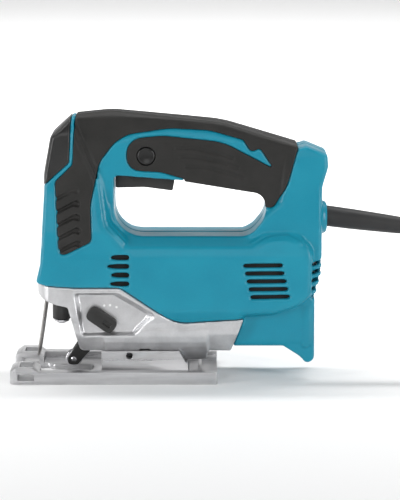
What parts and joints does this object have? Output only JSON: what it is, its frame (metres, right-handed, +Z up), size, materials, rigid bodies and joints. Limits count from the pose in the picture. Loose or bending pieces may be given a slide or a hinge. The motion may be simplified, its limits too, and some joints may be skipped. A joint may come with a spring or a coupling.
{
  "type": "orbital jigsaw",
  "caption": "Corded orbital jigsaw with a D-shaped grip, cast gear housing, bevelling and sliding sole plate, blade clamp, guard wire and coiled mains cord.",
  "frame": {"origin": "on the plane of the sole, under the centre of the tool's own bounding box without its cord", "axes": "+Z up from the sole, +X from the blade end to the cord end, +Y to the tool's right-hand side seen from behind the blade"},
  "size_m": [0.4701, 0.1035, 0.2006],
  "materials": {
    "teal_plastic": "moulded glass-filled nylon, satin",
    "soft_black": "matte overmoulded elastomer",
    "hard_black": "satin black moulding",
    "cast_alloy": "die-cast aluminium, satin",
    "steel": "ground and turned steel",
    "iron": "laminated core steel",
    "copper": "enamelled copper wire",
    "brass": "stamped brass",
    "bronze": "sintered bronze",
    "carbon": "pressed carbon",
    "board": "circuit board",
    "cord_black": "matte flexible cord sheath"
  },
  "bodies": {
    "housing": {"housing_left": "teal_plastic", "housing_right": "teal_plastic", "grip_left": "soft_black", "grip_right": "soft_black", "cord_tie": "soft_black", "front_bumper": "hard_black", "switch_body": "hard_black", "capacitor": "hard_black", "gear_housing": "cast_alloy", "gear_cover": "cast_alloy", "housing_screw_1": "steel", "housing_screw_2": "steel", "housing_screw_3": "steel", "housing_screw_4": "steel", "blade_guard": "steel", "gear_shaft": "steel", "front_bearing": "steel", "rear_bearing": "steel", "arm_pivot_pin": "steel", "trigger_pin": "steel", "stator_core": "iron", "field_coil_upper": "copper", "field_coil_lower": "copper", "brush_holder_left": "brass", "brush_holder_right": "brass", "plug_pin_1": "brass", "plug_pin_2": "brass", "lower_bush": "bronze", "upper_bush": "bronze", "carbon_brush_left": "carbon", "carbon_brush_right": "carbon", "speed_board": "board", "strain_relief": "cord_black", "cord": "cord_black", "cord_coil": "cord_black", "cord_tail": "cord_black", "plug_body": "cord_black"},
    "rotor": {"motor_shaft": "steel", "armature_core": "iron", "armature_winding_front": "copper", "armature_winding_rear": "copper", "commutator": "copper", "cooling_fan": "hard_black"},
    "crank": {"crank_gear": "steel", "crank_roller": "steel"},
    "plunger": {"plunger": "steel", "yoke": "steel", "blade_clamp_body": "steel"},
    "clamp_collar": {"blade_clamp_collar": "hard_black"},
    "roller_arm": {"roller_arm": "hard_black", "roller_pin": "steel"},
    "roller": {"roller": "steel"},
    "bevel_clamp": {"angle_plate": "steel", "base_bolt": "steel"},
    "base": {"base_plate": "cast_alloy"},
    "trigger": {"trigger": "hard_black"},
    "lock_button": {"lock_button": "hard_black"},
    "selector": {"orbit_lever": "hard_black", "orbit_cam_shaft": "steel"},
    "speed_dial": {"speed_dial": "hard_black"}
  },
  "joints": [
    {"name": "rotor_spin", "type": "hinge", "parent": "housing", "child": "rotor", "pos_m": [0.02, 0, 0.079], "axis": [1, 0, 0], "continuous": true},
    {"name": "crank_spin", "type": "hinge", "parent": "housing", "child": "crank", "pos_m": [-0.058, 0, 0.10595], "axis": [1, 0, 0], "continuous": true},
    {"name": "plunger_stroke", "type": "slide", "parent": "housing", "child": "plunger", "axis": [0, 0, 1], "range_m": [-0.019, 0.004]},
    {"name": "clamp_collar_turn", "type": "hinge", "parent": "plunger", "child": "clamp_collar", "pos_m": [-0.081, 0, 0.05], "axis": [0, 0, 1], "range_deg": [0, 60], "stiffness_Nm_per_rad": 0.05, "springref_deg": -11.46},
    {"name": "roller_arm_swing", "type": "hinge", "parent": "housing", "child": "roller_arm", "pos_m": [-0.0575, 0, 0.031], "axis": [0, 1, 0], "range_deg": [0, 5], "stiffness_Nm_per_rad": 0.6, "springref_deg": -5.73},
    {"name": "roller_spin", "type": "hinge", "parent": "roller_arm", "child": "roller", "pos_m": [-0.0721, 0, 0.0118], "axis": [0, 1, 0], "continuous": true},
    {"name": "base_bevel", "type": "hinge", "parent": "housing", "child": "bevel_clamp", "pos_m": [0, 0, 0.039], "axis": [1, 0, 0], "range_deg": [-45, 45]},
    {"name": "base_travel", "type": "slide", "parent": "bevel_clamp", "child": "base", "axis": [1, 0, 0], "range_m": [0, 0.015]},
    {"name": "trigger_pull", "type": "hinge", "parent": "housing", "child": "trigger", "pos_m": [-0.034, 0, 0.156], "axis": [0, -1, 0], "range_deg": [0, 8], "stiffness_Nm_per_rad": 1, "springref_deg": -8.59},
    {"name": "lock_push", "type": "slide", "parent": "housing", "child": "lock_button", "axis": [0, 1, 0], "range_m": [0, 0.003], "stiffness_N_per_m": 600, "springref_m": -0.002},
    {"name": "selector_turn", "type": "hinge", "parent": "housing", "child": "selector", "pos_m": [-0.045, 0, 0.0432], "axis": [0, 1, 0], "range_deg": [0, 90]},
    {"name": "speed_dial_turn", "type": "hinge", "parent": "housing", "child": "speed_dial", "pos_m": [0.1071, 0, 0.158], "axis": [0, 1, 0], "range_deg": [0, 270]}
  ],
  "couplings": [
    {"joint": "crank_spin", "follows": "rotor_spin", "ratio": -0.16667}
  ]
}
